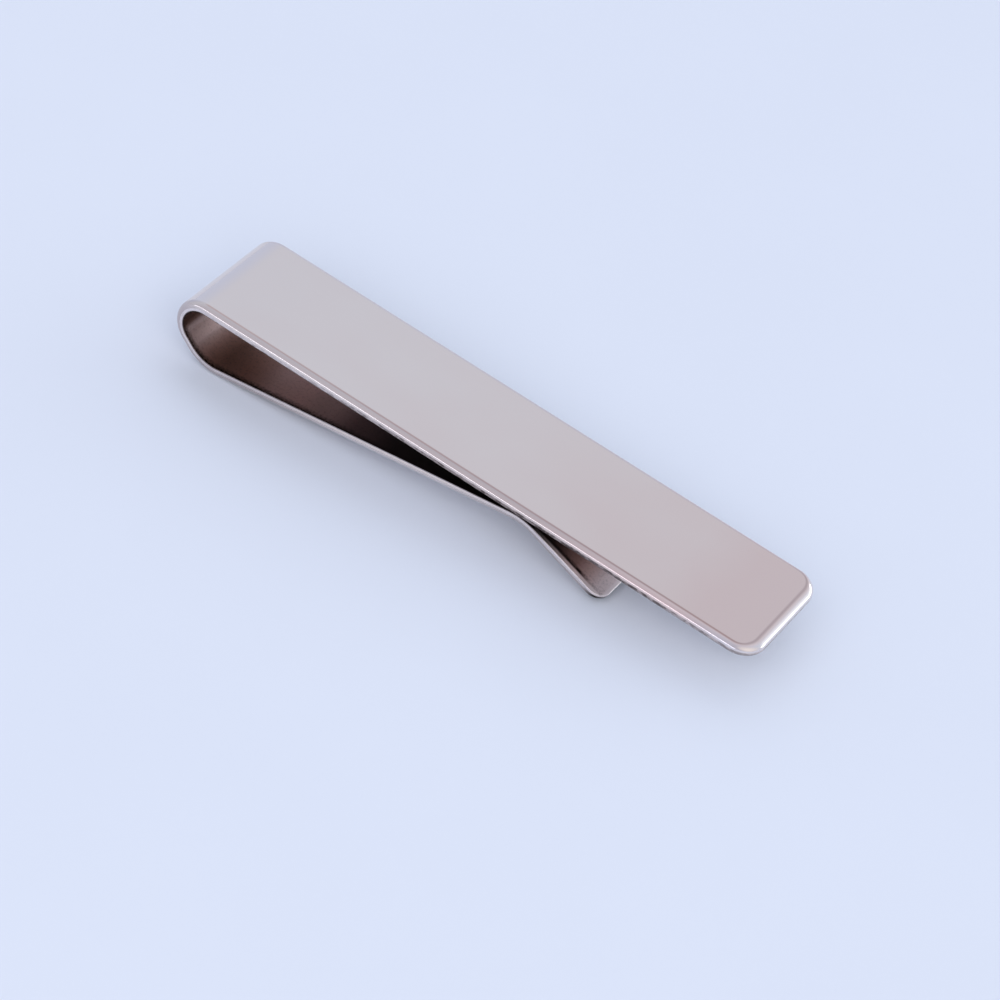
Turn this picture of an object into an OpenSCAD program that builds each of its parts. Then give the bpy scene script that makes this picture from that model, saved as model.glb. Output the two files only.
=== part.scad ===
// Slide-on tie clip, bent from one narrow strip of sheet metal.
//
// The front bar lies flat across the tie. At the nose the strip turns back under the bar,
// swells into a belly, rises as the back arm, and touches the bar again at the pinch crest.
// Past the crest a short lip flares away and leads the cloth in.
//
// Frame: +X runs from the nose to the bar's free end, +Y runs across the strip, and +Z leaves
// the bar's front face. The origin lies under the middle of the bar, level with the underside
// of the belly.
//
// The strip is drawn as nine stretches that meet face to face. Three of the cuts between them
// are the places where the spring gives: one across the bar, one across the fold between the
// nose and the web, and one across the arm. At each of them the strip turns about its outer
// face, so that the cut opens on the inside and nothing is squeezed.

/* [Front bar] */
// Length of the clip, from the nose to the bar's free end
bar_length = 40; // [34:0.5:60]
// Width of the strip, from side to side
strip_width = 8; // [5:0.25:12]
// Thickness of the strip
strip_thickness = 0.6; // [0.45:0.05:0.8]
// Radius of the two free corners of the bar, seen from the front
bar_corner_radius = 1.5; // [0.8:0.1:2.4]

/* [Strip edges] */
// Width of the rounded shoulder along the outer face's edges
shoulder_width = 0.4; // [0.1:0.02:0.6]
// How far that shoulder drops below the outer face
shoulder_drop = 0.36; // [0.1:0.02:0.36]
// Width and height of the small break along the inner face's edges
inner_break = 0.06; // [0.02:0.01:0.08]

/* [Nose and belly] */
// Inner radius of the nose, where the strip turns back under the bar
nose_radius = 1.3; // [1:0.1:2]
// Angle that the nose turns through
nose_turn = 138; // [115:1:150]
// Length of the straight web between the nose and the belly
web_length = 0.7; // [0.3:0.1:1.5]
// Inner radius of the belly, where the strip turns towards the pinch
belly_radius = 2.3; // [1.5:0.1:3]

/* [Back arm] */
// Distance of the pinch from the nose, along the bar
pinch_distance = 24.2; // [18:0.2:27]
// Gap that is left between the pinch crest and the bar
pinch_gap = 0.03; // [0.02:0.01:0.1]
// Radius of the crest on the side that touches the bar
crest_radius = 3.6; // [2:0.1:5]
// Angle at which the lip falls away from the bar
lip_angle = 21; // [12:1:35]
// Length of the lip past the crest
lip_length = 5.5; // [3:0.25:7]
// Radius of the lip's two free corners
lip_corner_radius = 1; // [0.8:0.1:2.4]

/* [Hidden] */
$fn = 96;
metal_colour = [0.76, 0.72, 0.73];
shoulder_steps = 6;
quarter = 90;
half_turn = 180;

half_width = strip_width / 2;
nose_outer_radius = nose_radius + strip_thickness;
belly_outer_radius = belly_radius + strip_thickness;

// Side profile, as [x, z]: x from the nose's outermost point and z from the bar's inner face.
// The walk goes from the bar round the nose to the lip, and a heading of zero is +X.
function along(heading) = [cos(heading), sin(heading)];
function left_of(heading) = [-sin(heading), cos(heading)];

nose_centre = [nose_outer_radius, -nose_radius];
web_heading = half_turn + nose_turn;
web_start = nose_centre - nose_radius * left_of(web_heading);
belly_start = web_start + web_length * along(web_heading);
belly_centre = belly_start + belly_radius * left_of(web_heading);

// The arm is the inner tangent of the belly's circle and the crest's circle.
crest_centre = [pinch_distance, -pinch_gap - crest_radius];
centre_line = crest_centre - belly_centre;
tangent_reach = belly_radius + crest_radius;
arm_slope = atan2(centre_line[1], centre_line[0]) + asin(tangent_reach / norm(centre_line));
arm_start = belly_centre - belly_radius * left_of(arm_slope);
arm_length = sqrt(norm(centre_line) ^ 2 - tangent_reach ^ 2);
lip_start = crest_centre + crest_radius * left_of(-lip_angle);

// Cloth in the pinch bends the bar and the arm more the nearer they are to the fold. That
// bending is centred a third of the way from the fold to the pinch, and the cuts lie there.
flex_share = 1 / 3;
bar_root_length = (pinch_distance - nose_centre[0]) * flex_share;
arm_root_length = arm_length * flex_share;
bar_cut = nose_centre[0] + bar_root_length;
arm_cut = arm_start + arm_root_length * along(arm_slope);

// Height of the bar's inner face above the belly's underside
inner_face_height = belly_outer_radius - belly_centre[1];

// Quarter of an ellipse from [0, 0], where it is level, out to [shoulder_width, shoulder_drop]
function shoulder(step) =
    [shoulder_width * sin(quarter * step / shoulder_steps),
     shoulder_drop * (1 - cos(quarter * step / shoulder_steps))];

// One edge of the strip, as [distance out from the middle, height]: the inner face is at
// height 0, the outer face is at -strip_thickness, and side is where the edge ends.
function edge(side) = concat(
    [[side - inner_break, 0], [side, -inner_break]],
    [for (step = [shoulder_steps : -1 : 0])
        [side - shoulder_width, -strip_thickness] + shoulder(step)]);

function mirrored(points) = [for (i = [len(points) - 1 : -1 : 0]) [-points[i][0], points[i][1]]];

// Whole cross-section, as [across, height]
section = concat(edge(half_width), mirrored(edge(half_width)));

// Straight stretch of strip along +X, with its inner face on z = 0 and its outer face below
module straight_strip(length) {
    rotate([quarter, 0, quarter])
        linear_extrude(length)
            polygon(section);
}

// Bend round the Y axis through radius, with the outer face outside, from angle start in XZ
module bend_outward(radius, start, turn) {
    rotate([quarter, 0, 0])
        rotate([0, 0, start])
            rotate_extrude(angle = turn)
                polygon([for (p = section) [radius - p[1], p[0]]]);
}

// Bend the other way, with the inner face outside at radius
module bend_inward(radius, start, turn) {
    rotate([quarter, 0, 0])
        rotate([0, 0, start])
            rotate_extrude(angle = turn)
                polygon([for (p = section) [radius + p[1], p[0]]]);
}

// Free end of the strip, from x = 0 to corner_radius, with the shoulder carried round it
module free_end(corner_radius) {
    end_profile = concat([[0, 0]], edge(corner_radius), [[0, -strip_thickness]]);
    middle_width = strip_width - 2 * corner_radius;
    translate([0, middle_width / 2, 0])
        rotate([quarter, 0, 0])
            linear_extrude(middle_width)
                polygon(end_profile);
    for (side = [0, 1])
        mirror([0, side, 0])
            translate([0, middle_width / 2, 0])
                rotate_extrude(angle = quarter)
                    polygon(end_profile);
}

// Straight stretch that ends in a rounded free end
module plate(length, corner_radius) {
    straight_strip(length - corner_radius);
    translate([length - corner_radius, 0, 0])
        free_end(corner_radius);
}

// Moves what is drawn at the strip's own start to a place and heading of the side profile
module place(point, heading = 0) {
    translate([point[0] - bar_length / 2, 0, point[1] + inner_face_height])
        rotate([0, -heading, 0])
            children();
}

module front_bar() {
    color(metal_colour)
        place([bar_cut, 0])
            mirror([0, 0, 1])
                plate(bar_length - bar_cut, bar_corner_radius);
}

module bar_root() {
    color(metal_colour)
        place([nose_centre[0], 0])
            mirror([0, 0, 1])
                straight_strip(bar_root_length);
}

module nose_bend() {
    color(metal_colour)
        place(nose_centre)
            bend_outward(nose_radius, quarter, nose_turn);
}

module fold_web() {
    color(metal_colour)
        place(web_start, web_heading)
            straight_strip(web_length);
}

module belly_bend() {
    color(metal_colour)
        place(belly_centre)
            bend_outward(belly_radius, quarter + nose_turn, half_turn + arm_slope - nose_turn);
}

module arm_root() {
    color(metal_colour)
        place(arm_start, arm_slope)
            straight_strip(arm_root_length);
}

module back_arm() {
    color(metal_colour)
        place(arm_cut, arm_slope)
            straight_strip(arm_length - arm_root_length);
}

module pinch_crest() {
    color(metal_colour)
        place(crest_centre)
            bend_inward(crest_radius, quarter - lip_angle, lip_angle + arm_slope);
}

module entry_lip() {
    color(metal_colour)
        place(lip_start, -lip_angle)
            plate(lip_length, lip_corner_radius);
}

front_bar();
bar_root();
nose_bend();
fold_web();
belly_bend();
arm_root();
back_arm();
pinch_crest();
entry_lip();
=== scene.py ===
# %% [markdown]
# A slide-on tie clip, seen from above on a pale table.
# The real clip is one narrow strip of sheet metal. It is stamped flat, its outer edges are
# rolled soft, it is polished and plated in pale rose-silver, and then it is bent: a flat front
# bar, a tight nose, a wider belly, a rising arm, a crest that pinches the cloth, and a lip.
# This script makes the strip the same way: it draws the flat blank, then bends it.

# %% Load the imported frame
import math

import bmesh
import bpy
from mathutils import Matrix, Vector


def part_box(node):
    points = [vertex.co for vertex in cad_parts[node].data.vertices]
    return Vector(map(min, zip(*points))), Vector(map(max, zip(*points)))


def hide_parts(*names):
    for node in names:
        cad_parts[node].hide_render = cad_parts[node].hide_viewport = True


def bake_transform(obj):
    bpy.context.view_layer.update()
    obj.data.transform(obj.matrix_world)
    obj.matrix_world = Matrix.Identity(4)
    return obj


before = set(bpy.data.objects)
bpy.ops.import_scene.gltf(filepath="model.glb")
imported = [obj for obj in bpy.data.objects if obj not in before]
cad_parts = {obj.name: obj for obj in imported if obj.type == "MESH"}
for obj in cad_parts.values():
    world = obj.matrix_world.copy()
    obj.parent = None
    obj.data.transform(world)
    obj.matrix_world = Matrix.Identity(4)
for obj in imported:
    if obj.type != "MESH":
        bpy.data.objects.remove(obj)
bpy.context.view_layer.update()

MM = 0.001
print("CAD nodes:", ", ".join(sorted(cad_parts)))

# %% [markdown]
# A camera and a lamp have to be put somewhere and turned. Angles round the clip are easier to
# think in than three coordinates: the azimuth goes round it from +X, and the elevation goes
# up from the level. Two helpers turn such angles into a place and a rotation.

# %% Directions and aiming
def direction(azimuth, elevation):
    """Unit vector that points from the clip towards an azimuth and elevation, in degrees."""
    azimuth, elevation = math.radians(azimuth), math.radians(elevation)
    level = math.cos(elevation)
    return Vector((level * math.cos(azimuth), level * math.sin(azimuth), math.sin(elevation)))


def aim(obj, place, target):
    """Puts a camera or lamp at a place and turns it to look at a target."""
    obj.location = place
    obj.rotation_euler = (target - place).to_track_quat("-Z", "Y").to_euler()


print("straight up is", tuple(round(v, 3) for v in direction(0, 90)))

# %% [markdown]
# The camera comes before the clip, because the finish is judged through it.
# It could be placed by eye, but a camera is a pinhole with three facts: where it looks, from
# which side, and how long its lens is. A long lens from close by keeps the bar's two long
# edges almost parallel, with just a little narrowing towards the nose.

# %% Camera
CAMERA_TARGET = Vector((3.06, -4.26, 4.52)) * MM
CAMERA_AZIMUTH = -67.64
CAMERA_ELEVATION = 43.90
CAMERA_DISTANCE = 201.78 * MM
CAMERA_ROLL = math.radians(16.69)
LENS = 129.6
SENSOR = 36.0

camera_data = bpy.data.cameras.new("camera")
camera_data.lens = LENS
camera_data.sensor_width = SENSOR
camera_data.clip_start = MM
camera_data.clip_end = 10.0
camera = bpy.data.objects.new("camera", camera_data)
bpy.context.scene.collection.objects.link(camera)
bpy.context.scene.camera = camera
aim(camera, CAMERA_TARGET + direction(CAMERA_AZIMUTH, CAMERA_ELEVATION) * CAMERA_DISTANCE,
    CAMERA_TARGET)
camera.rotation_euler = (camera.rotation_euler.to_matrix()
                         @ Matrix.Rotation(CAMERA_ROLL, 3, "Z")).to_euler()
print("camera at", [round(v / MM, 1) for v in camera.location], "mm")

# %% [markdown]
# Sizes come next. Width, thickness and the places of the cuts are read from the frame, so
# that the polished strip lies exactly where the solid one does. The radii and angles of the
# bends are the strip's own driving sizes.

# %% Sizes of the strip
bar_low, bar_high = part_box("front_bar")
STRIP_WIDTH = bar_high.y - bar_low.y
THICKNESS = bar_high.z - bar_low.z
INNER_FACE_Z = bar_low.z
BAR_END_X = bar_high.x
NOSE_CENTRE_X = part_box("bar_root")[0].x
PINCH_X = 4.2 * MM
PINCH_GAP = 0.03 * MM
NOSE_RADIUS = 1.3 * MM
NOSE_TURN = math.radians(138)
WEB_LENGTH = 0.7 * MM
BELLY_RADIUS = 2.3 * MM
CREST_RADIUS = 3.6 * MM
LIP_ANGLE = math.radians(21)
LIP_LENGTH = 5.5 * MM
BAR_CORNER = 1.5 * MM
LIP_CORNER = 1.0 * MM
SHOULDER_WIDTH = 0.4 * MM
SHOULDER_DROP = 0.36 * MM
INNER_BREAK = 0.06 * MM
print(f"strip {STRIP_WIDTH / MM:.2f} mm wide and {THICKNESS / MM:.2f} mm thick")

# %% [markdown]
# Seen from the side, the strip's inner face is a walk: straight along the bar, left round the
# nose, straight down the web, left round the belly, straight up the arm, right over the
# crest, and straight down the lip.
# A curve object with a bevel could follow this walk, but it would not keep the thickness
# true in the bends. Placing every vertex by the walk keeps it exact.
# The centres of its bends come first. The arm is the line that touches the belly's circle and
# the crest's circle, so its slope is worked out and not typed.

# %% Centres of the bends
def along(heading):
    """Unit vector (x, z) in the direction of a heading."""
    return Vector((math.cos(heading), math.sin(heading)))


def left_of(heading):
    """Unit vector (x, z) a quarter turn to the left of a heading."""
    return Vector((-math.sin(heading), math.cos(heading)))


nose_centre = Vector((NOSE_CENTRE_X, INNER_FACE_Z - NOSE_RADIUS))
web_heading = math.pi + NOSE_TURN
web_start = nose_centre - NOSE_RADIUS * left_of(web_heading)
belly_start = web_start + WEB_LENGTH * along(web_heading)
belly_centre = belly_start + BELLY_RADIUS * left_of(web_heading)
crest_centre = Vector((PINCH_X, INNER_FACE_Z - PINCH_GAP - CREST_RADIUS))
centres = crest_centre - belly_centre
reach = BELLY_RADIUS + CREST_RADIUS
arm_slope = math.atan2(centres.y, centres.x) + math.asin(reach / centres.length)
arm_length = math.sqrt(centres.length ** 2 - reach ** 2)
print(f"arm rises at {math.degrees(arm_slope):.2f} degrees")

# %% [markdown]
# The walk is then a list of seven stretches. A bend's length follows from its radius and its
# turn, and all the lengths together are that of the flat blank, which is what a maker cuts
# from the sheet.

# %% Stretches of the walk
# Each stretch is (length or radius, turn): a straight has no turn, left turns are positive.
STRETCHES = {
    "bar": (BAR_END_X - NOSE_CENTRE_X, 0.0),
    "nose": (NOSE_RADIUS, NOSE_TURN),
    "web": (WEB_LENGTH, 0.0),
    "belly": (BELLY_RADIUS, math.pi + arm_slope - NOSE_TURN),
    "arm": (arm_length, 0.0),
    "crest": (CREST_RADIUS, -(arm_slope + LIP_ANGLE)),
    "lip": (LIP_LENGTH, 0.0),
}


def stretch_length(name):
    """Length of a stretch along the inner face."""
    size, turn = STRETCHES[name]
    return size * abs(turn) if turn else size


def start_of(name):
    """Distance along the flat blank at which a stretch starts."""
    names = list(STRETCHES)
    return sum(stretch_length(n) for n in names[:names.index(name)])


BLANK_LENGTH = start_of("lip") + LIP_LENGTH
print(f"blank {BLANK_LENGTH / MM:.1f} mm long")

# %% [markdown]
# The walk turns a distance along the blank into a point and a heading. That one function
# does all the bending later on.

# %% Point and heading at a distance along the blank
def walk(distance):
    """(point on the inner face as (x, z), heading) at a distance from the bar's free end."""
    point, heading = Vector((BAR_END_X, INNER_FACE_Z)), math.pi
    for name, (size, turn) in STRETCHES.items():
        length = stretch_length(name)
        step = min(distance, length)
        if turn:
            side = math.copysign(1.0, turn)
            centre = point + side * size * left_of(heading)
            heading += side * step / size
            point = centre - side * size * left_of(heading)
        else:
            point = point + step * along(heading)
        distance -= length
        if distance <= 0:
            break
    return point, heading


tip, tip_heading = walk(BLANK_LENGTH)
print("lip tip at", [round(v / MM, 2) for v in tip], "mm")

# %% [markdown]
# Across, the strip is flat with soft edges. The inner face ends in a tiny break. The outer face
# rolls down over a shoulder, a quarter of an ellipse, which is what draws the bright line
# along the bar. A bevel modifier could round the edges, but it makes circles only, and its
# shading depends on the faces around it. Here each ring of the edge knows its own height and
# its own true normal, so a mirror finish runs over it without a kink.

# %% Rings of the edge
BREAK_STEPS = 4
SIDE_STEPS = 3
SHOULDER_STEPS = 14
QUARTER_TURN = math.pi / 2


def edge_rings():
    """Rings from the inner face to the outer face: (inset, height, normal out, normal up)."""
    rings = []
    for i in range(BREAK_STEPS + 1):
        a = QUARTER_TURN * i / BREAK_STEPS
        rings.append((INNER_BREAK * (1 - math.sin(a)), -INNER_BREAK * (1 - math.cos(a)),
                      math.sin(a), math.cos(a)))
    side_low = SHOULDER_DROP - THICKNESS
    for i in range(1, SIDE_STEPS):
        share = i / SIDE_STEPS
        rings.append((0.0, -INNER_BREAK + (side_low + INNER_BREAK) * share, 1.0, 0.0))
    for i in range(SHOULDER_STEPS, -1, -1):
        a = QUARTER_TURN * i / SHOULDER_STEPS
        normal = Vector((math.sin(a) / SHOULDER_WIDTH, -math.cos(a) / SHOULDER_DROP)).normalized()
        rings.append((SHOULDER_WIDTH * (1 - math.sin(a)),
                      SHOULDER_DROP * (1 - math.cos(a)) - THICKNESS, normal.x, normal.y))
    return rings


RINGS = edge_rings()
print(len(RINGS), "rings from face to face")

# %% [markdown]
# Along the strip lie rows of points. Straights take a row every millimetre, and bends a row
# every two degrees, so that no facet shows.

# %% Rows along the blank
ROW_STEP = 1.0 * MM
BEND_STEP = math.radians(2)
ROUNDING = 1e-6


def stretch_rows(name, first=0.0, last=None):
    """Distances of the rows in a stretch, both ends included."""
    size, turn = STRETCHES[name]
    last = stretch_length(name) if last is None else last
    step = size * BEND_STEP if turn else ROW_STEP
    count = max(1, math.ceil((last - first) / step - ROUNDING))
    return [start_of(name) + first + (last - first) * i / count for i in range(count + 1)]


def side_row(distance):
    """A row across the straight-sided strip."""
    return {"inset_to_place": lambda inset: (distance, STRIP_WIDTH / 2 - inset), "out": (0.0, 1.0),
            "widening": 1.0}


print(len(stretch_rows("bar")), "rows along the bar and", len(stretch_rows("nose")), "round the nose")

# %% [markdown]
# At a free end the rows fan round the corner's arc, and every ring keeps its own distance from
# the outline. Buffing wears the very end down more than the sides, so the shoulder grows wider
# there, and the outline stays where it is.

# %% Rows round a free end
CORNER_STEPS = 16
END_WIDENING = 0.7


def corner_row(end, towards, radius, angle):
    """A row through a free end's corners: angle 0 is the end itself, a quarter turn the side."""
    widening = 1 + END_WIDENING * math.cos(angle) ** 2

    def place(inset):
        arc = radius - inset * widening
        return (end - towards * (radius - arc * math.cos(angle)),
                STRIP_WIDTH / 2 - radius + arc * math.sin(angle))
    return {"inset_to_place": place, "out": (towards * math.cos(angle), math.sin(angle)),
            "widening": widening}


def corner_rows(end, towards, radius):
    """The rows of a free end, from the end itself to where the straight sides begin."""
    return [corner_row(end, towards, radius, QUARTER_TURN * i / CORNER_STEPS)
            for i in range(CORNER_STEPS + 1)]


print(CORNER_STEPS + 1, "rows round each corner")

# %% [markdown]
# The skin of a length of strip is a few lists that grow together: its points, their normals
# and its faces. Three facts are stored for each point too, for the finish to use: where the
# point lies on the flat blank, how much it faces inwards, and how far down the edge it is,
# which is 0 on the outer face, 1 where the sheared wall begins and 2 where the wall ends.
# The normals are written down with the points, so that neighbouring lengths shade as one
# polished surface.

# %% One point of the skin
COLUMNS = 8
ACROSS = [1 - 2 * m / COLUMNS for m in range(COLUMNS + 1)]


def new_skin():
    return {"coords": [], "normals": [], "blank": [], "down": [], "inner": [], "faces": [],
            "caps": set()}


def way_down(inset, height):
    """0 on the outer face, 1 at the end of the shoulder, 2 where the inner break begins."""
    above = height + THICKNESS
    if above < SHOULDER_DROP:
        return 1 - inset / SHOULDER_WIDTH
    wall = THICKNESS - SHOULDER_DROP - INNER_BREAK
    return 1 + max(0.0, above - SHOULDER_DROP) / wall


def add_point(skin, row, ring, across, plan=None):
    """Adds the point of a row and a ring at a share of the half width; returns its number."""
    inset, height, n_out, n_up = ring
    n_out, n_up = Vector((n_out / row["widening"], n_up)).normalized()
    place, half = row["inset_to_place"](inset)
    side = math.copysign(1.0, across) if across else 0.0
    plan = plan or (row["out"][0], row["out"][1] * side)
    point, heading = walk(place)
    tangent, up = along(heading), left_of(heading)
    bent = point + height * up
    skin["coords"].append((bent.x, across * half, bent.y))
    skin["normals"].append(Vector((n_out * plan[0] * tangent.x + n_up * up.x, n_out * plan[1],
                                   n_out * plan[0] * tangent.y + n_up * up.y)))
    skin["blank"].append((place, across * half, height))
    skin["down"].append(way_down(inset, height))
    skin["inner"].append(max(0.0, n_up))
    return len(skin["coords"]) - 1


def add_face(skin, corners, flip=False):
    skin["faces"].append(tuple(reversed(corners)) if flip else tuple(corners))


print(len(ACROSS), "points across each face")

# %% [markdown]
# A row of points goes once round the strip. It is kept as four runs, since the two ways of
# closing an end need them apart. At a free end the rings simply run across, from one corner
# to the other, so the end is as soft as the sides. A cut between two lengths is closed flat.

# %% Rows and ends
def add_row(skin, row):
    """The points round one row: along the top, down the right, back below, up the left."""
    return {"top": [add_point(skin, row, RINGS[0], c) for c in ACROSS],
            "right": [add_point(skin, row, ring, -1.0) for ring in RINGS[1:-1]],
            "bottom": [add_point(skin, row, RINGS[-1], c) for c in reversed(ACROSS)],
            "left": [add_point(skin, row, ring, 1.0) for ring in reversed(RINGS[1:-1])]}


def close_free_end(skin, row, runs, flip):
    """Runs the rings across between the two corners."""
    wall = [runs["top"]]
    for ring, left, right in zip(RINGS[1:-1], reversed(runs["left"]), runs["right"]):
        middle = [add_point(skin, row, ring, c, plan=(row["out"][0], 0.0)) for c in ACROSS[1:-1]]
        wall.append([left] + middle + [right])
    wall.append(runs["bottom"][::-1])
    for upper, lower in zip(wall, wall[1:]):
        for m in range(COLUMNS):
            add_face(skin, (upper[m], upper[m + 1], lower[m + 1], lower[m]), flip)


def close_cut(skin, runs, flip):
    """Closes a cut with flat faces, and remembers them as caps."""
    top, bottom = runs["top"], runs["bottom"][::-1]
    faces = [(top[m], top[m + 1], bottom[m + 1], bottom[m]) for m in range(COLUMNS)]
    faces.append([top[-1]] + runs["right"] + [bottom[-1]])
    faces.append([bottom[0]] + runs["left"] + [top[0]])
    for corners in faces:
        skin["caps"].add(len(skin["faces"]))
        add_face(skin, corners, flip)


print("a row has", 2 * len(ACROSS) + 2 * len(RINGS[1:-1]), "points")

# %% [markdown]
# The lists then go to Blender. Custom normals are written face by face, because the flat cuts
# keep a flat normal while the skin beside them keeps its smooth one. A signed volume above
# zero and edges that all join two faces the right way round show that the mesh is sound.

# %% Turn the lists into a mesh
def sound_volume(name, mesh):
    """Volume of a mesh; stops the script if it isn't closed and turned outwards."""
    check = bmesh.new()
    check.from_mesh(mesh)
    volume = check.calc_volume(signed=True)
    faults = sum(not e.is_manifold or not e.is_contiguous for e in check.edges)
    check.free()
    assert volume > 0 and faults == 0, (name, volume, faults)
    return volume


def make_object(name, skin):
    """A visible object from a skin, with its normals and the facts for the finish."""
    mesh = bpy.data.meshes.new(name)
    mesh.from_pydata(skin["coords"], [], skin["faces"])
    volume = sound_volume(name, mesh)
    mesh.shade_smooth()
    normals = []
    for polygon in mesh.polygons:
        for v in polygon.vertices:
            normals.append(polygon.normal if polygon.index in skin["caps"] else skin["normals"][v])
    mesh.normals_split_custom_set([n.normalized() for n in normals])
    where = mesh.attributes.new("blank", "FLOAT_VECTOR", "POINT")
    where.data.foreach_set("vector", [c / MM for p in skin["blank"] for c in p])
    for label, key in (("way_down", "down"), ("inner_share", "inner")):
        mesh.attributes.new(label, "FLOAT", "POINT").data.foreach_set("value", skin[key])
    obj = bpy.data.objects.new(name, mesh)
    bpy.context.scene.collection.objects.link(obj)
    print(f"{name}: {len(skin['coords'])} points, {volume / MM ** 3:.1f} mm3, closed")
    return obj


print("each point carries its place on the blank, its way down and its share of inner face")

# %% [markdown]
# A length of strip is then rows of points, a skin of four-sided faces from row to row, and
# its two ends. Where two stretches meet they share a row, which is taken once.

# %% A length of strip
def strip_piece(name, rows, free_start=False, free_end=False):
    """A length of strip through rows of points, with each end free and soft or cut flat."""
    skin = new_skin()
    runs = [add_row(skin, row) for row in rows]
    loops = [r["top"] + r["right"] + r["bottom"] + r["left"] for r in runs]
    for here, there in zip(loops, loops[1:]):
        for i in range(len(here)):
            j = (i + 1) % len(here)
            add_face(skin, (here[i], here[j], there[j], there[i]))
    for n, free, flip in ((0, free_start, True), (-1, free_end, False)):
        if free:
            close_free_end(skin, rows[n], runs[n], flip)
        else:
            close_cut(skin, runs[n], flip)
    return make_object(name, skin)


def joined(*lists):
    """Row distances of several stretches, each shared row once."""
    result = []
    for values in lists:
        result += values if not result else values[1:]
    return result


print(len(joined(stretch_rows("web"), stretch_rows("belly"))), "rows from the nose to the arm")

# %% [markdown]
# The strip is made in three lengths. Each crosses one of the places where the spring gives,
# and they meet where the strip is stiff or where it turns, out of the way of the eye.
# First the front bar with the nose, from the rounded free end to the start of the web.

# %% Front bar and nose
front_distances = joined(stretch_rows("bar", first=BAR_CORNER), stretch_rows("nose"))
front_rows = corner_rows(0.0, -1.0, BAR_CORNER)
front_rows += [side_row(d) for d in front_distances[1:]]
front = strip_piece("front_bar_and_nose", front_rows, free_start=True)

# %% [markdown]
# Then the fold: the web and the belly, down to the start of the arm.

# %% Fold
fold_rows = [side_row(d) for d in joined(stretch_rows("web"), stretch_rows("belly"))]
fold = strip_piece("web_and_belly", fold_rows)

# %% [markdown]
# Last the back arm with its crest and the lip, whose free end has rounded corners as well.

# %% Back arm, crest and lip
lip_straight = stretch_rows("lip", last=LIP_LENGTH - LIP_CORNER)
arm_distances = joined(stretch_rows("arm"), stretch_rows("crest"), lip_straight)
arm_rows = [side_row(d) for d in arm_distances[:-1]]
arm_rows += reversed(corner_rows(BLANK_LENGTH, 1.0, LIP_CORNER))
arm = strip_piece("back_arm_and_lip", arm_rows, free_end=True)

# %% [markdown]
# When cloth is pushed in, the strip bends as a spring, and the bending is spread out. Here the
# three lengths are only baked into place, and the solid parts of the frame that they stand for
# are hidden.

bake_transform(front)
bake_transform(fold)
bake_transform(arm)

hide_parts("front_bar", "bar_root", "nose_bend")
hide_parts("fold_web", "belly_bend")
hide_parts("arm_root", "back_arm", "pinch_crest", "entry_lip")
strip = (front, fold, arm)

# %% [markdown]
# The finish is a pale rose-silver plating over polished metal. A metal's look comes from
# three things: its tint, how sharp its reflections are, and small unevenness that makes them
# swim a little. One grey value would look like plastic, and a painted picture would first
# need the strip to be unwrapped. Here everything is worked out in nodes from the three facts
# that the points carry, so the finish follows the strip round its bends.
# Each helper below adds one or two nodes, so that a mask can be read as one line.

# %% Helpers that add nodes
def feed(tree, socket, value):
    """Links another node's output to an input, or writes a plain value into it."""
    if isinstance(value, bpy.types.NodeSocket):
        tree.links.new(value, socket)
    else:
        socket.default_value = value


def node(tree, kind, **inputs):
    """Adds a node and feeds its inputs, by name or by number as _0, _1 and so on."""
    made = tree.nodes.new(kind)
    for key, value in inputs.items():
        socket = made.inputs[int(key[1:])] if key[0] == "_" else made.inputs[key.replace("_", " ")]
        feed(tree, socket, value)
    return made


def math_node(tree, operation, *values):
    made = node(tree, "ShaderNodeMath", **{f"_{i}": v for i, v in enumerate(values)})
    made.operation = operation
    return made.outputs[0]


def combined(tree, operation, first, *others):
    """Several values taken together, two by two, by one operation."""
    for other in others:
        first = math_node(tree, operation, first, other)
    return first


print("helpers for nodes: feed, node, math_node, combined")

# %% [markdown]
# Four more helpers make masks and tints. A range carries one value over to another and stays
# level beyond its ends, which is what a mask needs: nothing, then a slope, then everything.
# Two slopes make a band. A mix lays one tint over another where a mask says so.

# %% Helpers for masks and tints
def ranged(tree, value, low, high, to_low=0.0, to_high=1.0):
    """A value carried from one range over to another, and held at its ends."""
    made = node(tree, "ShaderNodeMapRange", Value=value, From_Min=low, From_Max=high,
                To_Min=to_low, To_Max=to_high)
    return made.outputs[0]


def between(tree, value, rise_from, rise_to, fall_from, fall_to):
    """1 inside a range of a value, fading to 0 on both sides."""
    return math_node(tree, "MULTIPLY", ranged(tree, value, rise_from, rise_to),
                     ranged(tree, value, fall_from, fall_to, 1.0, 0.0))


def mixed_colour(tree, share, first, second):
    made = tree.nodes.new("ShaderNodeMix")
    made.data_type = "RGBA"
    for number, value in ((0, share), (6, first), (7, second)):
        feed(tree, made.inputs[number], value)
    return made.outputs[2]


def faded(tree, value, top, stops):
    """Colours at chosen values between 0 and top, faded into each other."""
    made = node(tree, "ShaderNodeValToRGB", Fac=ranged(tree, value, 0.0, top))
    ramp = made.color_ramp
    while len(ramp.elements) < len(stops):
        ramp.elements.new(1.0)
    for element, (where, *colour) in zip(ramp.elements, stops):
        element.position, element.color = where / top, (*colour, 1)
    return made.outputs[0]


print("helpers for masks: ranged, between, mixed_colour, faded")

# %% [markdown]
# The facts come out of the mesh as attributes. The place on the flat blank is the most useful
# one: it says how far a point is from the bar's free end, from the sides and from the lip's
# tip.
# From here on a range is written down as where a change starts, where it is complete, and
# what it goes from and to. One with only two numbers goes from 0 to 1. Places along and
# across the blank are in mm.

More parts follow.
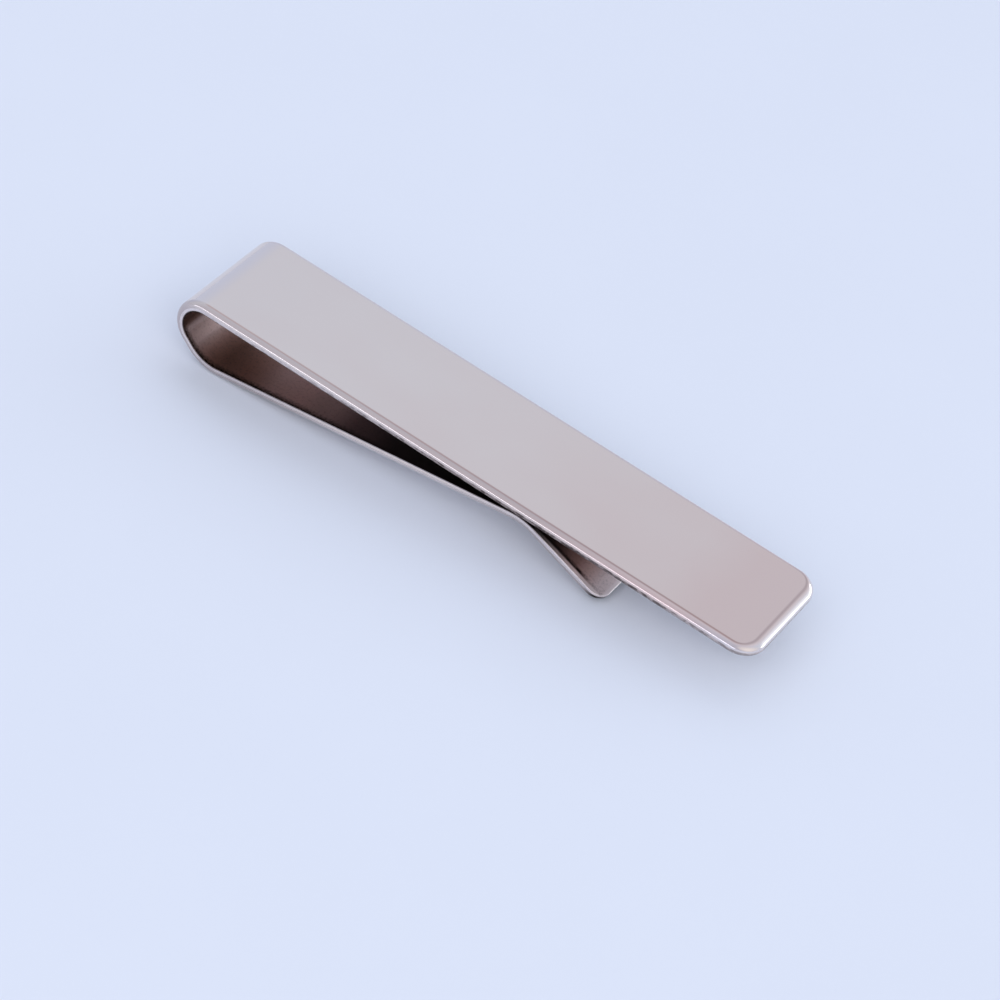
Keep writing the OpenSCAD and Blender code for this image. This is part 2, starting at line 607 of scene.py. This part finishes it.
# %% Facts of the strip
BAR_TO_ARM = (36.0, 39.0)
ARM_TO_LIP = (66.0, 68.0)


def attribute(tree, name, output):
    made = tree.nodes.new("ShaderNodeAttribute")
    made.attribute_name = name
    return made.outputs[output]


def strip_facts(tree):
    """Sockets that say where on the strip a point lies, with lengths in mm."""
    blank = attribute(tree, "blank", "Vector")
    along_blank, across_blank = node(tree, "ShaderNodeSeparateXYZ", Vector=blank).outputs[:2]
    return {
        "blank": blank, "along": along_blank, "across": across_blank,
        "from_side": math_node(tree, "SUBTRACT", STRIP_WIDTH / 2 / MM,
                               math_node(tree, "ABSOLUTE", across_blank)),
        "from_tip": math_node(tree, "SUBTRACT", BLANK_LENGTH / MM, along_blank),
        "down": attribute(tree, "way_down", "Fac"),
        "inner": attribute(tree, "inner_share", "Fac"),
        "on_arm": ranged(tree, along_blank, *BAR_TO_ARM),
        "on_lip": ranged(tree, along_blank, *ARM_TO_LIP),
    }


print(f"the blank runs from 0 to {BLANK_LENGTH / MM:.1f} mm")

# %% [markdown]
# Dirt, wipe marks and tears come by chance, and noise stands in for it. It is laid over the
# flat blank and not over the bent strip, so its marks follow the strip round the bends, and
# it is stretched by giving it fewer changes along the strip than across.

# %% Noise on the blank
def stretched_noise(tree, facts, scale, detail, roughness=0.5):
    """Noise on the flat blank; scale is changes per mm along, across and through the strip."""
    mapping = node(tree, "ShaderNodeMapping", Vector=facts["blank"], Scale=scale)
    noise = node(tree, "ShaderNodeTexNoise", Vector=mapping.outputs[0], Scale=1.0,
                 Detail=detail, Roughness=roughness)
    return noise.outputs["Fac"]


print("noise can be stretched along, across and through the strip")

# %% [markdown]
# The plating isn't one colour: it is almost silver over the fold, with slow clouds in it. Towards
# the bar's free end the tint is painted rosier and darker, a painted reflection of the darker,
# pinker surroundings that the end mirrors, and a second mask paints the last few millimetres
# rosier still. Both tints are pale, since a metal's tint multiplies what it mirrors.

# %% Tint of the plating
SILVER_TINT = (0.815, 0.715, 0.655, 1)
ROSE_TINT = (0.76, 0.60, 0.545, 1)
ROSY_REFLECTION_TOWARDS_END = (28.0, 2.0, 0.0, 0.75)
ROSIER_REFLECTION_AT_END = (7.0, 1.0, 0.0, 0.6)
CLOUDS = {"scale": (0.12, 0.2, 0.2), "detail": 2}
CLOUD_DRIFT = (0.3, 0.7, -0.12, 0.12)


def rosy_reflection_and_clouds(tree, facts):
    """How far the tint goes from silver to rose: painted reflection towards the bar's free end, plus
    the plating's slow clouds.
    """
    # The two ranges along the blank are painted reflection; the noise is the plating's own clouds.
    return combined(tree, "ADD", ranged(tree, facts["along"], *ROSY_REFLECTION_TOWARDS_END),
                    ranged(tree, facts["along"], *ROSIER_REFLECTION_AT_END),
                    ranged(tree, stretched_noise(tree, facts, **CLOUDS), *CLOUD_DRIFT))


print("plating from", SILVER_TINT[:3], "to", ROSE_TINT[:3])

# %% [markdown]
# A thin darker line is painted along the bar where its shoulder begins, plainest on the near side
# and at the free end. It is a painted reflection of the dim sky overhead, which the start of the
# shoulder mirrors. Its mask is a band on the way down the shoulder. That way is counted faster at
# the free end, so the line is narrow there, and slower towards the nose, where the line is wide.

# %% Painted reflection line at the shoulder
REFLECTION_LINE_BAND = (0.0, 0.3, 0.35, 0.75)
REFLECTION_LINE_NARROWS = (0.4, 1.6, 1.8, 1.0)
REFLECTION_LINE_WIDENS = (26.0, 36.0, 1.0, 0.75)
REFLECTION_LINE_GROWS = (38.0, 8.0, 0.4, 1.0)
NEAR_TO_FAR = (-3.0, 3.0, 1.0, 0.4)
ACROSS_THE_END = (3.0, 1.2)


def painted_reflection_line(tree, facts):
    """How dark the painted reflection line along the bar is, from 0 beside it to 1 at its plainest.
    """
    # Painted reflection: the dark line where the shoulder begins.
    counted = combined(tree, "MULTIPLY", facts["down"],
                       ranged(tree, facts["along"], *REFLECTION_LINE_NARROWS),
                       ranged(tree, facts["along"], *REFLECTION_LINE_WIDENS))
    near_or_end = math_node(tree, "MAXIMUM", ranged(tree, facts["across"], *NEAR_TO_FAR),
                            ranged(tree, facts["along"], *ACROSS_THE_END))
    return combined(tree, "MULTIPLY", between(tree, counted, *REFLECTION_LINE_BAND), near_or_end,
                    ranged(tree, facts["along"], *REFLECTION_LINE_GROWS))


print(f"the line fades out {REFLECTION_LINE_BAND[-1] * SHOULDER_WIDTH / MM:.2f} mm into the shoulder")

# %% [markdown]
# Round the fold and under the belly the whole shoulder is painted almost as dark as the line. It
# is painted shade: there the shoulder mirrors the shaded table under the clip. Along the arm the
# shade is painted lighter.

# %% Painted shade on the fold
FOLD_BEGINS = (37.5, 39.5)
PAINTED_BRIGHT_ARM = (46.0, 53.0, 60.0, 66.0)
FOLD_SHADE_DEPTH = (0.0, 1.0, 0.9, 0.3)
FOLD_SHADE_BEGINS = (0.0, 0.3)


def fold_painted_shade(tree, facts):
    """How dark the painted shade on the shoulder is round the fold and along the arm."""
    # Painted shade: deep round the fold and belly, weaker on the arm's painted-bright stretch.
    dirt = ranged(tree, between(tree, facts["along"], *PAINTED_BRIGHT_ARM), *FOLD_SHADE_DEPTH)
    return combined(tree, "MULTIPLY", ranged(tree, facts["along"], *FOLD_BEGINS), dirt,
                    ranged(tree, facts["down"], *FOLD_SHADE_BEGINS))


print("the arm is clean from", PAINTED_BRIGHT_ARM[1], "to", PAINTED_BRIGHT_ARM[2], "mm")

# %% [markdown]
# Along the arm the outer face and shoulder are painted brighter, painted light where they mirror
# the lit table. Towards the bar's free end the lower shoulder is painted brighter too, a painted
# reflection of the bright near side, and at the very end it is worn to a neutral grey. The tints
# are laid over each other in this order: plating with the arm painted brighter, the painted
# reflection line and painted shade, the painted brightening, wear.

# %% Tint of the shoulder
SILVER_PAINTED_DARK_TINT = (0.56, 0.485, 0.475, 1)
ROSE_PAINTED_DARK_TINT = (0.56, 0.435, 0.40, 1)
ARM_PAINTED_BRIGHT_TINT = (0.96, 0.88, 0.85, 1)
PAINTED_BRIGHT_SHOULDER_TINT = (0.89, 0.71, 0.65, 1)
WORN_TINT = (0.80, 0.75, 0.74, 1)
SHOULDER_PAINTED_BRIGHTER = (15.0, 6.0)
PAINTED_BRIGHTENING_BEGINS = (0.3, 0.55)
END_IS_WORN = (5.0, 2.0, 0.0, 0.85)
WEAR_BEGINS = (0.4, 0.7)


def shoulder_tint(tree, facts):
    """Tint of the outer face and its rounded shoulder."""
    share = rosy_reflection_and_clouds(tree, facts)
    plating = mixed_colour(tree, share, SILVER_TINT, ROSE_TINT)
    # Painted light: the arm's outer face and shoulder are brighter where they mirror the lit table.
    plated = mixed_colour(tree, between(tree, facts["along"], *PAINTED_BRIGHT_ARM), plating, ARM_PAINTED_BRIGHT_TINT)
    # Painted reflection line and painted shade, both darkening the shoulder.
    dark = math_node(tree, "MAXIMUM", painted_reflection_line(tree, facts), fold_painted_shade(tree, facts))
    painted_dark_tint = mixed_colour(tree, share, SILVER_PAINTED_DARK_TINT, ROSE_PAINTED_DARK_TINT)
    lined = mixed_colour(tree, dark, plated, painted_dark_tint)
    # Painted reflection: the lower shoulder is brighter towards the bar's free end.
    painted_brightening = math_node(tree, "MULTIPLY", ranged(tree, facts["along"], *SHOULDER_PAINTED_BRIGHTER),
                       ranged(tree, facts["down"], *PAINTED_BRIGHTENING_BEGINS))
    painted_bright_tint = mixed_colour(tree, painted_brightening, lined, PAINTED_BRIGHT_SHOULDER_TINT)
    worn = math_node(tree, "MULTIPLY", ranged(tree, facts["along"], *END_IS_WORN),
                     ranged(tree, facts["down"], *WEAR_BEGINS))
    return mixed_colour(tree, worn, painted_bright_tint, WORN_TINT)


print("shoulder", round(SHOULDER_WIDTH / MM, 2), "mm wide,", round(SHOULDER_DROP / MM, 2), "mm deep")

# %% [markdown]
# The wall between the two faces shows how the blank was cut. A shear burnishes the sheet where it
# enters and tears the rest. The top of the wall is painted bright, partly burnish and partly a
# painted highlight that widens the bright line along the edge, and on the arm the wall is painted
# brighter still as a painted highlight. The torn band below is painted dark, partly torn metal and
# partly painted shade of the shaded table that it mirrors. The tear is roughest along the middle of
# the bar and eases towards both ends. On the arm only light marks are left of it.

# %% Torn band of the wall
WALL_BAND = (1.0, 1.1, 2.0, 2.1)
TEARING_BEGINS = (0.97, 1.12)
TEARING_GROWS = (31.0, 21.0, 0.2, 1.0)
TEARING_EASES = (9.0, 1.0, 1.0, 0.45)
ARM_IS_LESS_TORN = (0.0, 1.0, 1.0, 0.4)


def wall_share(tree, facts):
    """1 on the sheared wall, which runs from 1 to 2 on the way down."""
    return between(tree, facts["down"], *WALL_BAND)


def torn_share(tree, facts):
    """How torn the wall is."""
    return combined(tree, "MULTIPLY", ranged(tree, facts["down"], *TEARING_BEGINS),
                    ranged(tree, facts["along"], *TEARING_GROWS),
                    ranged(tree, facts["along"], *TEARING_EASES),
                    ranged(tree, facts["on_arm"], *ARM_IS_LESS_TORN))


print(f"wall {(THICKNESS - SHOULDER_DROP - INNER_BREAK) / MM:.2f} mm high between shoulder and break")

# %% [markdown]
# Faint marks run along the wall, and in its torn band lies a dark seam that breaks off and starts
# again. A drawn line would look ruled, so noise decides where both show. Round the lip's tip the
# outer face, its shoulder and the top of the wall face down, and they are painted almost black:
# painted shade for the dark gap between the lip and the table.

# %% Tint of the wall
BURNISH_AND_HIGHLIGHT_TINT = (0.88, 0.80, 0.78, 1)
ARM_WALL_HIGHLIGHT_TINT = (1.0, 0.88, 0.80, 1)
TORN_AND_SHADED_TINT = (0.40, 0.33, 0.31, 1)
SHEAR_MARK_TINT = (0.09, 0.068, 0.064, 1)
DIRT_AND_PAINTED_SHADE_TINT = (0.02, 0.010, 0.008, 1)
SHEAR_MARKS = {"scale": (1.5, 1.5, 11.0), "detail": 4, "roughness": 0.65}
MARKS_SHOW = (0.52, 0.66, 0.0, 0.6)
ARM_IS_LESS_MARKED = (0.0, 1.0, 0.6, 0.2)
SEAM_BREAKS = {"scale": (2.2, 2.2, 5.0), "detail": 4, "roughness": 0.6}
SEAM_SHOWS = (0.46, 0.56, 0.0, 0.9)
TIP_PAINTED_SHADE_SPAN = (70.4, 71.2)
TIP_SHADE_REACHES = (1.4, 1.6, 1.0, 0.0)


def edge_tint(tree, facts):
    """Tint of everything but the inner face."""
    torn = torn_share(tree, facts)
    # Painted highlight, partly burnish: the top of the wall, and on the arm the whole wall, painted
    # bright.
    burnish_and_highlight = mixed_colour(tree, between(tree, facts["along"], *PAINTED_BRIGHT_ARM), BURNISH_AND_HIGHLIGHT_TINT,
                             ARM_WALL_HIGHLIGHT_TINT)
    # Torn metal and painted shade: the torn band is painted dark.
    sheared = mixed_colour(tree, torn, burnish_and_highlight, TORN_AND_SHADED_TINT)
    marks = math_node(tree, "MULTIPLY",
                      ranged(tree, stretched_noise(tree, facts, **SHEAR_MARKS), *MARKS_SHOW),
                      ranged(tree, facts["on_arm"], *ARM_IS_LESS_MARKED))
    marked = mixed_colour(tree, marks, sheared, SHEAR_MARK_TINT)
    walled = mixed_colour(tree, wall_share(tree, facts), shoulder_tint(tree, facts), marked)
    seam = ranged(tree, stretched_noise(tree, facts, **SEAM_BREAKS), *SEAM_SHOWS)
    seamed = mixed_colour(tree, math_node(tree, "MULTIPLY", torn, seam), walled, SHEAR_MARK_TINT)
    # Painted shade: the lip's tip painted almost black where it faces the table.
    tip_painted_shade = math_node(tree, "MULTIPLY", ranged(tree, facts["down"], *TIP_SHADE_REACHES),
                          ranged(tree, facts["along"], *TIP_PAINTED_SHADE_SPAN))
    return mixed_colour(tree, tip_painted_shade, seamed, DIRT_AND_PAINTED_SHADE_TINT)


print("wall from", BURNISH_AND_HIGHLIGHT_TINT[:3], "to", TORN_AND_SHADED_TINT[:3])

# %% [markdown]
# The inner face is painted with light and shade along the blank. Under the bar's free end it is
# painted bright, and further into the loop it is painted brown and darker, painted shade where
# little light reaches, almost black inside the nose and in the throat, where the arm closes in on
# the bar. The web, the belly and the foot of the arm carry lighter painted reflections, and the
# lip comes out into the light again. A row of colours along the blank says this plainly, where a
# formula would hide it.

# %% Painted light and shade along the inner face
# Painted light and shade on the inner face, one colour per place along the blank.
# Place along the blank, then red, green and blue
UNDER_THE_BAR_LIGHT_AND_SHADE = ((0, 0.98, 0.90, 0.86), (8, 0.98, 0.90, 0.86), (10.5, 0.70, 0.59, 0.56),
                 (12, 0.70, 0.59, 0.56), (22, 0.53, 0.37, 0.32), (36, 0.47, 0.30, 0.24))
INSIDE_THE_NOSE_PAINTED_SHADE = ((38.2, 0.04, 0.022, 0.017), (40.6, 0.05, 0.028, 0.022))
WEB_AND_BELLY_LIGHT_AND_SHADE = ((41.3, 0.56, 0.42, 0.40), (42.1, 0.42, 0.31, 0.30), (42.7, 0.58, 0.39, 0.35),
                 (43.5, 0.66, 0.39, 0.30))
FOOT_OF_THE_ARM_LIGHT_AND_SHADE = ((45.5, 0.58, 0.33, 0.25), (46.5, 0.53, 0.34, 0.28), (47.5, 0.58, 0.42, 0.38),
                   (49.5, 0.53, 0.37, 0.335), (50.4, 0.42, 0.31, 0.28), (51.6, 0.38, 0.28, 0.26))
THROAT_PAINTED_SHADE = ((53.2, 0.15, 0.10, 0.095), (56, 0.03, 0.018, 0.014), (64.5, 0.03, 0.018, 0.014))
LIP_IN_THE_LIGHT = ((67.5, 0.07, 0.045, 0.04), (69.3, 0.35, 0.24, 0.215), (70.2, 0.66, 0.51, 0.48),
                    (71, 0.90, 0.80, 0.78))
INSIDE_PAINTED_LIGHT_AND_SHADE = (UNDER_THE_BAR_LIGHT_AND_SHADE + INSIDE_THE_NOSE_PAINTED_SHADE + WEB_AND_BELLY_LIGHT_AND_SHADE + FOOT_OF_THE_ARM_LIGHT_AND_SHADE + THROAT_PAINTED_SHADE
                + LIP_IN_THE_LIGHT)
print(len(INSIDE_PAINTED_LIGHT_AND_SHADE), "colours along the inner face")

# %% [markdown]
# Dirt stays along the edges of the inner face, broken up by a coarse grain, and the lip's rim
# is rubbed bright. The dirt's mask is a band beside the edge. On the lip it moves inwards and
# narrows, and it grows faint at the tip.

# %% Tint of the inner face
RIM_TINT = (1.0, 0.92, 0.90, 1)
RIM_ENDS = (0.22, 0.32, 1.0, 0.0)
DIRT_BAND = (0.0, 0.1, 0.3, 0.7)
DIRT_MOVES_IN = (0.0, 1.0, -0.2, 0.26)
DIRT_NARROWS = (0.0, 1.0, 1.0, 2.0)
DIRT_BACK_FROM_TIP = (1.3, 2.0, 0.2, 0.95)
COARSE_GRAIN = {"scale": (6.0, 6.0, 6.0), "detail": 5, "roughness": 0.7}
GRAIN_DRIFT = (0.35, 0.65, -0.25, 0.25)


def dirt_share(tree, facts):
    """How much dirt lies along the edges of the inner face."""
    beside = math_node(tree, "SUBTRACT", facts["from_side"],
                       ranged(tree, facts["on_lip"], *DIRT_MOVES_IN))
    narrowed = math_node(tree, "MULTIPLY", beside, ranged(tree, facts["on_lip"], *DIRT_NARROWS))
    return math_node(tree, "MULTIPLY_ADD", between(tree, narrowed, *DIRT_BAND),
                     ranged(tree, facts["from_tip"], *DIRT_BACK_FROM_TIP),
                     ranged(tree, stretched_noise(tree, facts, **COARSE_GRAIN), *GRAIN_DRIFT))


def inside_shade_and_dirt_tint(tree, facts):
    """Tint of the inner face: its painted light and shade, with dirt along its edges and the lip's
    bright rim.
    """
    # The painted light and shade along the inner face.
    colours = faded(tree, facts["along"], BLANK_LENGTH / MM, INSIDE_PAINTED_LIGHT_AND_SHADE)
    dirty = mixed_colour(tree, dirt_share(tree, facts), colours, DIRT_AND_PAINTED_SHADE_TINT)
    from_edge = math_node(tree, "MINIMUM", facts["from_side"], facts["from_tip"])
    rim = math_node(tree, "MULTIPLY", facts["on_lip"], ranged(tree, from_edge, *RIM_ENDS))
    return mixed_colour(tree, rim, dirty, RIM_TINT)


print("lip's bright rim", RIM_ENDS[1], "mm wide")

# %% [markdown]
# Sharpness uses the same masks. The outer face is polished, the inner face is only tumbled,
# and the wall is duller. Fine wipe marks along the strip and a finer grain vary it a little,
# since an even sharpness looks made up.

# %% Sharpness
POLISHED = 0.13
SHEARED = 0.34
TUMBLED = 0.4
WIPES = {"scale": (0.9, 14.0, 14.0), "detail": 5}
WIPE_CONTRAST = (0.35, 0.7, -1.0, 1.0)
WIPE_ROUGHNESS = 0.02
FINE_GRAIN = {"scale": (24.0, 24.0, 24.0), "detail": 3}
GRAIN_CONTRAST = (0.35, 0.65, -1.0, 1.0)
GRAIN_ROUGHNESS = 0.015


def roughness(tree, facts, wipes):
    face = ranged(tree, facts["inner"], 0.0, 1.0, POLISHED, TUMBLED)
    wall = math_node(tree, "MULTIPLY", wall_share(tree, facts), SHEARED)
    wiped = math_node(tree, "MULTIPLY_ADD", ranged(tree, wipes, *WIPE_CONTRAST), WIPE_ROUGHNESS,
                      math_node(tree, "MAXIMUM", face, wall))
    grain = ranged(tree, stretched_noise(tree, facts, **FINE_GRAIN), *GRAIN_CONTRAST)
    return math_node(tree, "MULTIPLY_ADD", grain, GRAIN_ROUGHNESS, wiped)


print("roughness: polished", POLISHED, "sheared", SHEARED, "tumbled", TUMBLED)

# %% [markdown]
# A polished sheet is never quite flat, so a bump of long soft waves bends the reflections, a
# very shallow one adds the wipe marks, and a third roughens the torn wall. Real dents would
# need far more points than these shallow bumps.

# %% Unevenness
SOFT_WAVES = {"scale": (0.25, 0.35, 0.35), "detail": 1}
TORN_GRAIN = {"scale": (7.0, 7.0, 0.8), "detail": 4, "roughness": 0.7}
WAVE_HEIGHT = 0.006 * MM
WIPE_HEIGHT = 0.0006 * MM
WIPE_STRENGTH = 0.4
TEAR_HEIGHT = 0.03 * MM


def unevenness(tree, facts, wipes):
    tears = math_node(tree, "MULTIPLY", stretched_noise(tree, facts, **TORN_GRAIN),
                      wall_share(tree, facts))
    soft = node(tree, "ShaderNodeBump", Height=stretched_noise(tree, facts, **SOFT_WAVES),
                Strength=1.0, Distance=WAVE_HEIGHT)
    fine = node(tree, "ShaderNodeBump", Height=wipes, Strength=WIPE_STRENGTH,
                Distance=WIPE_HEIGHT, Normal=soft.outputs[0])
    torn = node(tree, "ShaderNodeBump", Height=tears, Strength=1.0, Distance=TEAR_HEIGHT,
                Normal=fine.outputs[0])
    return torn.outputs[0]


print(f"bumps: waves {WAVE_HEIGHT / MM} mm, wipes {WIPE_HEIGHT / MM} mm, tears {TEAR_HEIGHT / MM} mm")

# %% [markdown]
# Now the parts of the finish come together in one material, which all three lengths wear.

# %% Plated metal
def plated_metal():
    material = bpy.data.materials.new("polished_rose_silver")
    material.use_nodes = True
    tree = material.node_tree
    facts = strip_facts(tree)
    wipes = stretched_noise(tree, facts, **WIPES)
    shader = tree.nodes["Principled BSDF"]
    tint = mixed_colour(tree, facts["inner"], edge_tint(tree, facts), inside_shade_and_dirt_tint(tree, facts))
    for name, value in (("Metallic", 1.0), ("Base Color", tint),
                        ("Roughness", roughness(tree, facts, wipes)),
                        ("Normal", unevenness(tree, facts, wipes))):
        feed(tree, shader.inputs[name], value)
    return material


metal = plated_metal()
for piece in strip:
    piece.data.materials.append(metal)
print("finish:", metal.name, "with", len(metal.node_tree.nodes), "nodes")

# %% [markdown]
# The clip rests on its belly and on the lip's tip, so the table is a plane through both. In
# the clip's own frame that plane leans a little. Its angle is that of the line which touches
# the belly's circle and passes under the tip.

# %% Where the table lies
belly_radius_outside = BELLY_RADIUS + THICKNESS
tip_outside = tip - THICKNESS * left_of(tip_heading)
to_tip = tip_outside - belly_centre
lean = math.atan2(to_tip.y, to_tip.x) + math.asin(belly_radius_outside / to_tip.length)
touch = belly_centre - belly_radius_outside * left_of(lean)
print(f"table leans {math.degrees(lean):.2f} degrees")

# %% [markdown]
# The table is a pale cool board that hardly shines. A faint mottle and a fine grain keep it
# from looking like paper. Its colour sets the background of the picture, so the lamps don't
# have to.

# %% Material of the table
TABLE_COLOUR = (0.715, 0.755, 0.835, 1)
TABLE_ROUGHNESS = 0.6
TABLE_GLOSS = 0.2
MOTTLE = {"Scale": 60.0, "Detail": 3.0}
MOTTLE_DARKENS = 0.97
TABLE_GRAIN = {"Scale": 900.0, "Detail": 4.0}
TABLE_GRAIN_HEIGHT = 0.05 * MM
TABLE_GRAIN_STRENGTH = 0.2


def table_material():
    material = bpy.data.materials.new("pale_table")
    material.use_nodes = True
    tree = material.node_tree
    shader = tree.nodes["Principled BSDF"]
    shader.inputs["Roughness"].default_value = TABLE_ROUGHNESS
    shader.inputs["Specular IOR Level"].default_value = TABLE_GLOSS
    place = tree.nodes.new("ShaderNodeTexCoord").outputs["Object"]
    mottle = node(tree, "ShaderNodeTexNoise", Vector=place, **MOTTLE)
    darker = tuple(c * MOTTLE_DARKENS for c in TABLE_COLOUR[:3]) + (1,)
    colour = mixed_colour(tree, mottle.outputs["Fac"], darker, TABLE_COLOUR)
    tree.links.new(colour, shader.inputs["Base Color"])
    grain = node(tree, "ShaderNodeTexNoise", Vector=place, **TABLE_GRAIN)
    bump = node(tree, "ShaderNodeBump", Height=grain.outputs["Fac"],
                Strength=TABLE_GRAIN_STRENGTH, Distance=TABLE_GRAIN_HEIGHT)
    tree.links.new(bump.outputs[0], shader.inputs["Normal"])
    return material


print("table colour", TABLE_COLOUR[:3])

# %% [markdown]
# The table itself is one large flat face, which catches the clip's soft shadow. It isn't part
# of the clip.

# %% Table
TABLE_HALF = 1.5


def make_table():
    mesh = bpy.data.meshes.new("table")
    corners = [(x * TABLE_HALF, y * TABLE_HALF, 0) for x, y in ((-1, -1), (1, -1), (1, 1), (-1, 1))]
    mesh.from_pydata(corners, [], [(0, 1, 2, 3)])
    table = bpy.data.objects.new("table", mesh)
    bpy.context.scene.collection.objects.link(table)
    table.location = (touch.x, 0, touch.y)
    table.rotation_euler = (0, -lean, 0)
    table.data.materials.append(table_material())
    return table


table = make_table()
print(f"{table.name} {2 * TABLE_HALF:.0f} m wide")

# %% [markdown]
# A polished metal shows its surroundings, so they are built like a photographer's tent: a
# pale, slightly blue sky all round. Where the flat bar and the nose look into that sky, soft
# patches make it dimmer, bluer or brighter, so the metal goes gently from light to dark. A
# plain grey world would make it look like paint, and a photographed room would bring in
# shapes that aren't there.

# %% Patches of the sky
FAR_SIDE = (0.70, 0.765, 0.90, 1)
NEAR_SIDE = (0.54, 0.54, 0.65, 1)
LOW_FAR_SIDE = (0.63, 0.72, 0.94, 1)
WINDOW_GLOW = (1.2, 1.3, 1.4, 1)
RIGHT_GLOW = (0.95, 0.92, 0.92, 1)
DIM_PATCH = (0.58, 0.53, 0.60, 1)
# Each patch: colour, azimuth, elevation, full within this angle, gone beyond that one
SKY_PATCHES = (
    (NEAR_SIDE, -67, 20, 20, 85),
    (LOW_FAR_SIDE, 137, 0, 10, 50),
    (WINDOW_GLOW, 54, 14, 4, 30),
    (RIGHT_GLOW, -25, 36, 6, 42),
    (DIM_PATCH, 138, 67, 6, 17),
)


def nearness(tree, facing, azimuth, elevation, inner_angle, outer_angle):
    """1 within inner_angle of a direction of the sky, fading to 0 at outer_angle, in degrees."""
    dot = node(tree, "ShaderNodeVectorMath", _0=facing, _1=direction(azimuth, elevation))
    dot.operation = "DOT_PRODUCT"
    return ranged(tree, dot.outputs["Value"], math.cos(math.radians(outer_angle)),
                  math.cos(math.radians(inner_angle)))


print(len(SKY_PATCHES), "patches in the sky")

# %% [markdown]
# The patches are laid over the plain sky one after the other, in the nodes of the world. A
# later patch covers an earlier one where they overlap.

# %% Sky
def make_sky():
    world = bpy.data.worlds.new("studio_tent")
    bpy.context.scene.world = world
    world.use_nodes = True
    tree = world.node_tree
    background = tree.nodes["Background"]
    facing = tree.nodes.new("ShaderNodeTexCoord").outputs["Generated"]
    sky = FAR_SIDE
    for colour, *place in SKY_PATCHES:
        sky = mixed_colour(tree, nearness(tree, facing, *place), sky, colour)
    tree.links.new(sky, background.inputs["Color"])
    background.inputs["Strength"].default_value = 1.0


make_sky()
print("sky:", bpy.context.scene.world.name)

# %% [markdown]
# Four windows light the tent. A large low one on the far right throws the soft shadow and
# turns the bar's end white, and a thin low strip on the near side draws the bright line along
# the near edge. The metal mirrors both. Two more only fill the shadows on the table: a mirror
# would show them as hard-edged boxes in the bar, so they are hidden from reflections.

# %% Windows
WINDOW_DISTANCE = 0.7
WHITE_LIGHT = (1.0, 1.0, 1.0)
DAYLIGHT = (0.92, 0.97, 1.0)
BLUE_LIGHT = (0.78, 0.85, 1.0)


def window(name, azimuth, elevation, width, height, brightness, colour, mirrored=True):
    """A rectangle of light that faces the clip; brightness is what a mirror would show."""
    data = bpy.data.lights.new(name, "AREA")
    data.shape = "RECTANGLE"
    data.size = width
    data.size_y = height
    data.energy = brightness * math.pi * width * height
    data.color = colour
    lamp = bpy.data.objects.new(name, data)
    bpy.context.scene.collection.objects.link(lamp)
    lamp.visible_glossy = mirrored
    aim(lamp, direction(azimuth, elevation) * WINDOW_DISTANCE, Vector())
    return lamp


windows = (
    window("far_right_window", azimuth=54, elevation=18, width=0.7, height=0.13,
           brightness=1.9, colour=DAYLIGHT),
    window("near_fill", azimuth=-75, elevation=42, width=1.2, height=0.6,
           brightness=1.05, colour=WHITE_LIGHT, mirrored=False),
    window("far_fill", azimuth=120, elevation=42, width=0.8, height=0.5,
           brightness=0.45, colour=WHITE_LIGHT, mirrored=False),
    window("near_strip", azimuth=-108, elevation=4, width=0.8, height=0.07,
           brightness=2.25, colour=BLUE_LIGHT),
)
print("windows:", ", ".join(lamp.name for lamp in windows))

# %% [markdown]
# The last cell sets the plain view transform, so a colour is shown as it is written.

# %% Finish
scene = bpy.context.scene
scene.view_settings.view_transform = "Standard"
